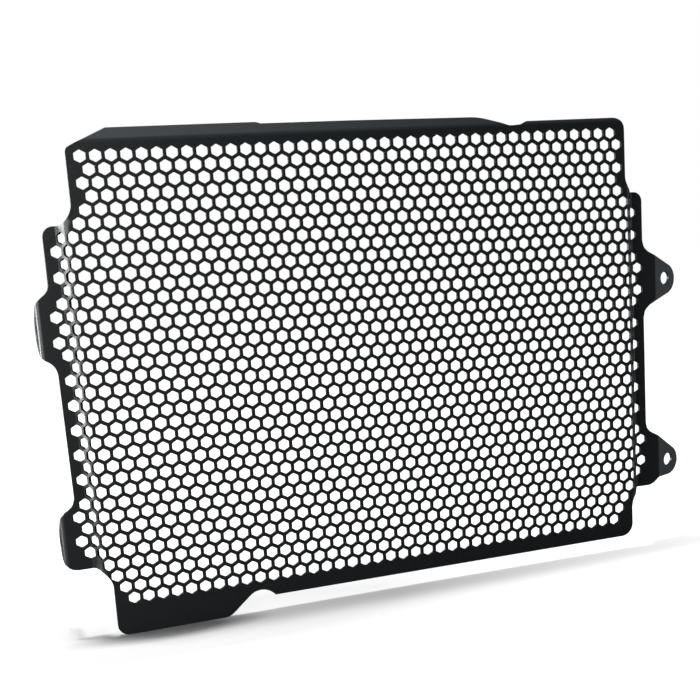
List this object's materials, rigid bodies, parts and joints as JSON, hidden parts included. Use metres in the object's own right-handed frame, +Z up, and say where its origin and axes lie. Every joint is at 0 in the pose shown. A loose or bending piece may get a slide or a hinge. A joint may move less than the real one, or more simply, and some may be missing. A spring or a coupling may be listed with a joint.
{
  "type": "motorcycle radiator guard",
  "caption": "Black folded sheet guard for a motorcycle radiator, cut with a honeycomb of hexagonal cells, with four bolt tabs and a top edge that leans back.",
  "frame": {"origin": "centre of the lower right bolt hole, in the middle of the sheet's thickness", "axes": "+X to the right seen from the front, +Y to the back, towards the radiator, +Z up"},
  "size_m": [0.3463, 0.0223, 0.243],
  "materials": {
    "black_coat": "satin"
  },
  "bodies": {
    "root": {"guard": "black_coat"}
  },
  "joints": []
}
